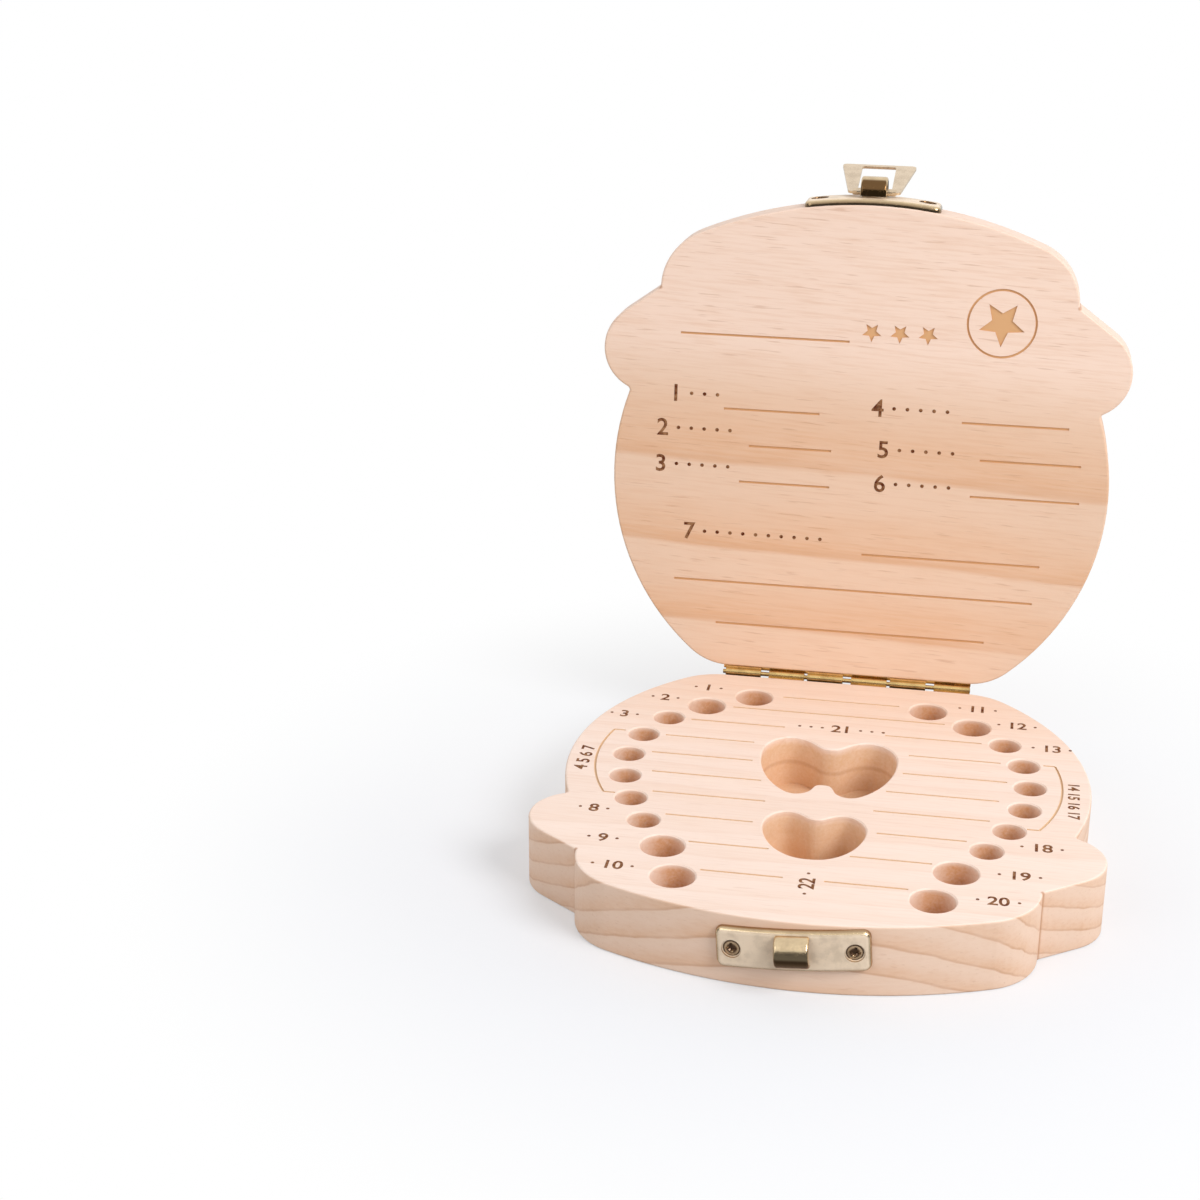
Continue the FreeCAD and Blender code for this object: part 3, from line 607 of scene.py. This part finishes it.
def base_pine():
    """Pale pine with rings on its sawn sides, tanned in the sockets and pockets partly as the cut wood's
    tone and partly as painted shade, and with painted shade from the lid towards the hinge.
    """
    material, n, shader = new_material("base_pine")
    place = n.place()
    normal = n.normal()
    facing = n.apart(normal)
    milled = place_group(n, MILLED, Vector=place)
    side = n.remap(n.math("ABSOLUTE", facing["Z"]), 0.85, 0.45)
    side = n.math("MULTIPLY", side, n.blend(milled["Inside"], 1.0, 0.12))
    # painted shade and bounce light from the standing lid, towards the hinge
    painted_lid_shade = n.remap(n.apart(place)["Y"], *BASE_LID_SHADE_RUN, 0.0, 0.75, smooth=True)
    figure = place_group(n, PINE_FIGURE, Vector=place, Pith=BASE_PITH, Ring_Spacing=BASE_RING_SPACING,
                         Ring_Shift=BASE_RING_SHIFT, Waver=BASE_WAVER, Streaks=BASE_STREAKS,
                         Ring_Line=n.blend(side, *BASE_RING_LINES), Band=n.blend(side, *BASE_BANDS),
                         Pale=n.mix(n.math("MAXIMUM", side, painted_lid_shade), BASE_PALE, SIDE_TONE_AND_LID_SHADE))
    ruled = place_group(n, ENGRAVED, Vector=place, Normal=normal, Level=BASE_HEIGHT, Side=1.0)
    wall = n.mix(milled["Socket"], POCKET_WALL, SOCKET_WALL)
    other_wall_tan = n.blend(milled["Socket"], *OTHER_WALL_TAN)
    x_wall_tan = n.blend(milled["Socket"], *X_WALL_TAN)
    # painted light: in the sockets, walls facing along X are kept paler, for the lit side wall
    faces_x = n.remap(n.math("ABSOLUTE", facing["X"]), 0.30, 0.95)
    tan = n.blend(faces_x, other_wall_tan, x_wall_tan)
    # tan of the milled walls, partly painted shade of the hollows
    colour = n.mix(n.math("MULTIPLY", milled["Depth"], tan), figure["Color"], wall)
    # painted shade on the pockets' deep floors and crease
    colour = n.mix(n.math("MULTIPLY", milled["Dark"], POCKET_SHADE_COVER), colour, POCKET_PAINTED_SHADE)
    colour = n.mix(ruled["Mask"], colour, RULED_BASE)
    colour = n.mix(in_ear_notch(n, place), colour, PINE_LINE)
    wood_surface(n, shader, figure, colour)
    return material


def lid_pine():
    """Pine with broad bands on the half next to the hinge, ruled inside and etched tan outside."""
    material, n, shader = new_material("lid_pine")
    place, normal = shut_coords(n)
    along_grain = turned(n, place, "POINT", LID_GRAIN_TURN)
    hinge_half = n.remap(n.apart(along_grain)["Y"], *LID_WARMING, 0.12, 1.0, smooth=True)
    figure = place_group(n, PINE_FIGURE, Vector=along_grain, Pith=LID_PITH, Ring_Spacing=LID_RING_SPACING,
                         Ring_Shift=LID_RING_SHIFT, Waver=LID_WAVER, Streaks=LID_STREAKS,
                         Ring_Line=n.math("MULTIPLY", hinge_half, LID_RING_LINES),
                         Band=n.math("MULTIPLY", hinge_half, LID_BANDS),
                         Pale=n.mix(hinge_half, LID_PALE, LID_WARM))
    ruled = place_group(n, ENGRAVED, Vector=place, Normal=normal, Level=LID_INSIDE, Side=-1.0)
    etched = place_group(n, ENGRAVED, Vector=place, Normal=normal, Level=LID_OUTSIDE, Side=1.0)
    colour = n.mix(ruled["Mask"], figure["Color"], RULED_LID)
    colour = n.mix(n.math("MULTIPLY", etched["Mask"], ETCHED_COVER), colour, ETCHED_TAN)
    colour = n.mix(in_ear_notch(n, place), colour, PINE_LINE)
    wood_surface(n, shader, figure, colour)
    return material


def hinge_brass():
    """Brass with painted shade, and some grime, on the sides of the knuckles that look down when the
    box stands open.
    """
    material, n, shader = new_material("hinge_brass")
    place = n.place()
    plating = place_group(n, WORN_PLATING, Vector=place, Bright=BRASS_GOLD, Dull=BRASS_WORN,
                          Wear=BRASS_WEAR)
    from_pin = n.vector("MULTIPLY", n.vector("SUBTRACT", place, HINGE_LINE), (0.0, 1.0, 1.0))
    knuckle = n.math("LESS_THAN", n.vector("LENGTH", from_pin), BARREL_RADIUS + FINISH_MARGIN)
    # painted shade, with some grime, on the knuckles' sides that look down
    downward = n.remap(n.apart(n.normal())["Z"], 0.25, -0.30, 0.0, KNUCKLE_SHADE_AND_GRIME_COVER, smooth=True)
    painted_shade = n.math("MULTIPLY", downward, knuckle)
    colour = n.mix(painted_shade, plating["Color"], BRASS_SHADE_AND_GRIME)
    rough = n.math("ADD", plating["Roughness"], n.math("MULTIPLY", painted_shade, GRIME_ROUGHER))
    metal_surface(n, shader, plating, colour, rough, BRASS_METALLIC)
    return material


def chin_plate_nickel(name, painted_shade, shade_slope, on_lid=False):
    """Nickel with a dull face, bright where the hook and the margins are worn smooth.

    The hook carries painted shade where its surface looks down more than the given slope does; the
    margins carry painted shade too.
    """
    material, n, shader = new_material(name)
    place, normal = shut_coords(n) if on_lid else (n.place(), n.normal())
    relief = place_group(n, CHIN_RELIEF, Vector=place, Normal=normal, Clean=shade_slope)
    polish = relief["Polish"]
    plating = place_group(n, WORN_PLATING, Vector=place, Bright=n.mix(polish, NICKEL_FACE, NICKEL_PALE),
                          Dull=NICKEL_DULL, Wear=NICKEL_WEAR)
    # painted shade along the margins and under the hook
    colour = n.mix(relief["Painted Shade"], plating["Color"], painted_shade)
    rough = n.math("ADD", plating["Roughness"], n.blend(polish, *CHIN_PLATE_ROUGHER))
    metal_surface(n, shader, plating, colour, rough, n.blend(polish, *CHIN_PLATE_METALLIC))
    return material


def loop_nickel():
    """Pale nickel of the loose loop, evenly worn."""
    material, n, shader = new_material("loop_nickel")
    plating = place_group(n, WORN_PLATING, Vector=n.place(), Bright=LOOP_PALE, Dull=NICKEL_DULL,
                          Wear=NICKEL_WEAR)
    metal_surface(n, shader, plating, plating["Color"], plating["Roughness"], LOOP_METALLIC)
    return material


def head_middle(screws, side, outward):
    """Middle of one screw's head, at the end that points outward. Side is 1 for the right screw."""
    corners = [corner.co for corner in screws.data.vertices if corner.co.x * side > 0]
    furthest = max(corner.dot(outward) for corner in corners)
    head = [corner for corner in corners if furthest - corner.dot(outward) < SCREW_HEAD_TILT]
    return sum(head, Vector()) / len(head)


def screw_plating(name, outward):
    """Plated screws, with painted shade in the middle of the cross and round the rim of the head."""
    material, n, shader = new_material(name)
    place = n.place()
    plating = place_group(n, WORN_PLATING, Vector=place, Bright=SCREW_BROWN, Dull=SCREW_TARNISH_AND_SHADE,
                          Wear=SCREW_WEAR)
    reach = FAR_AWAY
    for side in (-1, 1):
        middle = head_middle(frame["nodes"][name], side, outward)
        reach = n.math("MINIMUM", n.vector("LENGTH", n.vector("SUBTRACT", place, middle)), reach)
    # painted shade in the cross recess and round the head's rim
    cross = n.remap(reach, *SCREW_CROSS_FADE)
    rim = n.remap(reach, *SCREW_RIM_FADE)
    dark = n.math("MULTIPLY", n.math("MAXIMUM", cross, rim), SCREW_SHADE_COVER)
    colour = n.mix(dark, plating["Color"], SCREW_TARNISH_AND_SHADE)
    metal_surface(n, shader, plating, colour, plating["Roughness"], SCREW_METALLIC)
    return material


def burnt_letter():
    """Scorched wood, unevenly dark."""
    material, n, shader = new_material("burnt_letter")
    patchy = n.noise(n.in_millimetres(n.place()), SCORCH_REPEAT, 3.0)
    paler = n.remap(patchy, 0.35, 0.75, 0.0, SCORCH_PALEST)
    n.link(n.mix(paler, LETTER_BURN, RULED_LID), shader.inputs["Base Color"])
    n.link(n.spread(patchy, *LETTER_ROUGHNESS), shader.inputs["Roughness"])
    shader.inputs["Specular IOR Level"].default_value = LETTER_SHINE
    return material


def dress_cad_nodes(materials):
    """Gives each carried-over piece its finish. All the hinge's pieces share one."""
    for name, node in frame["nodes"].items():
        node.data.materials.clear()
        node.data.materials.append(materials["hinge" if name.startswith("hinge") else name])


def number_mesh(words, height, place, turn=0.0):
    """Flat lettering as a mesh on the XY plane, from millimetres and degrees."""
    bpy.ops.object.select_all(action="DESELECT")
    bpy.ops.object.text_add()
    mark = bpy.context.object
    mark.data.body = words
    mark.data.align_x = "CENTER"
    mark.data.align_y = "CENTER"
    mark.data.size = height * MM / CAPITAL_SHARE
    mark.data.extrude = LETTER_RISE
    mark.data.offset = STROKE_GROWTH
    mark.data.resolution_u = CURVE_STEPS
    bpy.ops.object.convert(target="MESH")
    mark.rotation_euler = (0.0, 0.0, math.radians(turn))
    mark.location = (place[0] * MM, place[1] * MM, 0.0)
    bpy.ops.object.transform_apply(location=True, rotation=True, scale=True)
    return mark


def joined_marks(name, marks, carry, material, body):
    """Joins lettering into one piece, carries it to its face and sets it on its body."""
    bpy.ops.object.select_all(action="DESELECT")
    for mark in marks:
        mark.select_set(True)
    bpy.context.view_layer.objects.active = marks[0]
    bpy.ops.object.join()
    piece = bpy.context.object
    piece.name = name
    piece.data.name = name
    piece.matrix_world = carry
    bpy.ops.object.transform_apply(location=True, rotation=True, scale=True)
    piece.data.materials.clear()
    piece.data.materials.append(material)
    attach(piece, body)
    return piece


# Base numbers beside single sockets: places on the right in millimetres, mirrored on the left
SIDE_HEIGHT = 3.2
SIDE_PLACES = [(31.9, 47.6), (41.2, 40.4), (49.2, 29.9), (47.6, -17.0), (43.3, -29.6), (39.3, -40.6)]
LEFT_NUMBERS = (1, 2, 3, 8, 9, 10)
RIGHT_NUMBERS = (11, 12, 13, 18, 19, 20)

# Base numbers outside the brackets and at the pockets: words, height, middle in millimetres, turn
OTHER_BASE_MARKS = [
    ("4 5 6 7", 2.9, (-54.0, 6.2), 90.0),
    ("14 15 16 17", 2.4, (54.0, 5.6), -90.0),
    ("· · · 21 · · ·", 3.4, (1.4, 31.0), 0.0),
    ("· 22 ·", 3.2, (1.0, -40.6), 90.0),
]

# Lid numbers: words and middle in millimetres, with Y towards the hinge on the shut lid
LID_HEIGHT = 4.0
LID_MARKS = [
    ("1 · · ·", (-39.0, -10.2)),
    ("2 · · · · ·", (-38.8, -1.8)),
    ("3 · · · · ·", (-39.0, 7.0)),
    ("4 · · · · ·", (11.6, -9.4)),
    ("5 · · · · ·", (13.4, 0.4)),
    ("6 · · · · ·", (13.0, 8.6)),
    ("7 · · · · · · · · · ·", (-24.0, 23.2)),
]


def base_numbers(material):
    """Numbers on the base's top face, as one piece."""
    marks = []
    for (x, y), left, right in zip(SIDE_PLACES, LEFT_NUMBERS, RIGHT_NUMBERS):
        marks.append(number_mesh(f"· {left} ·", SIDE_HEIGHT, (-x, y)))
        marks.append(number_mesh(f"· {right} ·", SIDE_HEIGHT, (x, y)))
    marks += [number_mesh(*mark) for mark in OTHER_BASE_MARKS]
    return joined_marks("base_numbers", marks, Matrix.Translation((0, 0, BASE_HEIGHT)), material, "base")


def lid_numbers(material):
    """Numbers on the lid's inner face, as one piece, drawn face up and turned over."""
    marks = [number_mesh(words, LID_HEIGHT, (x, -y)) for words, (x, y) in LID_MARKS]
    carry = SWING_OPEN @ Matrix.Translation((0, 0, LID_INSIDE)) @ FLIP_OVER
    return joined_marks("lid_numbers", marks, carry, material, "lid")


def white_floor():
    """A pale floor that keeps a faint soft shadow near the box and runs out to white.

    Polished metal sees it darker close to the box, where the box shades it.
    """
    bpy.ops.object.select_all(action="DESELECT")
    bpy.ops.mesh.primitive_plane_add(size=FLOOR_SIZE, location=(0.0, 0.0, -FLOOR_DROP))
    floor = bpy.context.object
    floor.name = "studio_floor"
    material, n, shader = new_material("studio_floor")
    place = n.place()
    depth = n.apart(place)["Y"]
    reach = n.vector("LENGTH", place)
    direct, mirrored = n.ray_masks()
    near = n.remap(reach, *SHADOW_FADE, 1.0, 0.0, smooth=True)
    shaded = n.math("MULTIPLY", n.remap(depth, *SHADOW_RUN, 0.60, 0.34, smooth=True), near)
    shadow = n.mix(1.0, shaded, SHADOW_TINT, "MULTIPLY")
    bounce = n.mix(mirrored, FLOOR_BOUNCE, BLACK)
    n.link(n.mix(direct, bounce, shadow), shader.inputs["Base Color"])
    own_light = n.math("SUBTRACT", 1.0, n.math("MULTIPLY", shaded, 1.14))
    gleam = n.remap(depth, *GLEAM_RUN, 0.15, 0.75, smooth=True)
    gleam = n.math("MULTIPLY", gleam, n.remap(reach, *GLEAM_FADE, 0.3, 1.0))
    glow = n.math("ADD", n.math("MULTIPLY", direct, own_light), n.math("MULTIPLY", mirrored, gleam))
    n.link(glow, shader.inputs["Emission Strength"])
    shader.inputs["Emission Color"].default_value = WHITE
    shader.inputs["Roughness"].default_value = 0.9
    shader.inputs["Specular IOR Level"].default_value = 0.0
    floor.data.materials.append(material)


def studio_world():
    """White to the camera. It lights the box more from behind, and metal sees it dimmer in front."""
    world = bpy.data.worlds.new("studio_world")
    bpy.context.scene.world = world
    world.use_nodes = True
    n = Nodes(world.node_tree)
    backdrop = world.node_tree.nodes["Background"]
    backdrop.inputs["Color"].default_value = WHITE
    direction = n.apart(n.add("ShaderNodeTexCoord").outputs["Generated"])
    overhead = n.remap(direction["Z"], 0.25, 0.75, 1.0, 0.45, smooth=True)
    from_behind = n.remap(direction["Y"], -0.5, 0.3, 0.70, 1.17, smooth=True)
    lit = n.math("MULTIPLY", overhead, from_behind)
    above_in_metal = n.remap(direction["Z"], 0.30, 0.55, smooth=True)
    behind_in_metal = n.remap(direction["Y"], -0.1, 0.3, 0.12, 1.0, smooth=True)
    direct, mirrored = n.ray_masks()
    strength = n.blend(mirrored, lit, n.math("MAXIMUM", above_in_metal, behind_in_metal))
    n.link(n.blend(direct, strength, 1.0), backdrop.inputs["Strength"])


def soft_lamp(name, place, aim, size, power):
    """A round soft lamp that shines from a place at an aim."""
    bpy.ops.object.select_all(action="DESELECT")
    turn = (Vector(aim) - Vector(place)).to_track_quat("-Z", "Y").to_euler()
    bpy.ops.object.light_add(type="AREA", location=place, rotation=turn)
    lamp = bpy.context.object
    lamp.name = name
    lamp.data.shape = "DISK"
    lamp.data.size = size
    lamp.data.energy = power


def photo_camera():
    """The camera at the photograph's place and angle."""
    bpy.ops.object.select_all(action="DESELECT")
    bpy.ops.object.camera_add(location=CAMERA_PLACE, rotation=CAMERA_TURN)
    camera = bpy.context.object
    camera.name = "photo_camera"
    camera.data.sensor_width = CAMERA_SENSOR
    camera.data.lens = CAMERA_LENS
    camera.data.clip_start = CAMERA_NEAREST
    camera.data.clip_end = CAMERA_FURTHEST
    bpy.context.scene.camera = camera


finishes = {
    "base_block": base_pine(),
    "lid_panel": lid_pine(),
    "hinge": hinge_brass(),
    "keeper_plate": chin_plate_nickel("keeper_nickel", KEEPER_PAINTED_SHADE, KEEPER_SHADE_SLOPE),
    "latch_plate": chin_plate_nickel("latch_nickel", LATCH_PAINTED_SHADE, LATCH_SHADE_SLOPE, on_lid=True),
    "latch_flap": loop_nickel(),
    "keeper_screws": screw_plating("keeper_screws", KEEPER_OUTWARD),
    "latch_screws": screw_plating("latch_screws", LATCH_OUTWARD),
    "letters": burnt_letter(),
}
dress_cad_nodes(finishes)
base_numbers(finishes["letters"])
lid_numbers(finishes["letters"])
white_floor()
studio_world()
soft_lamp("key_lamp", place=(0.80, -0.50, 0.84), aim=(0.0, 0.02, 0.05), size=0.65, power=10.4)
soft_lamp("fill_lamp", place=(-0.75, -0.80, 0.60), aim=(0.0, 0.02, 0.06), size=1.0, power=2.6)
photo_camera()
bpy.context.scene.view_settings.view_transform = "Standard"
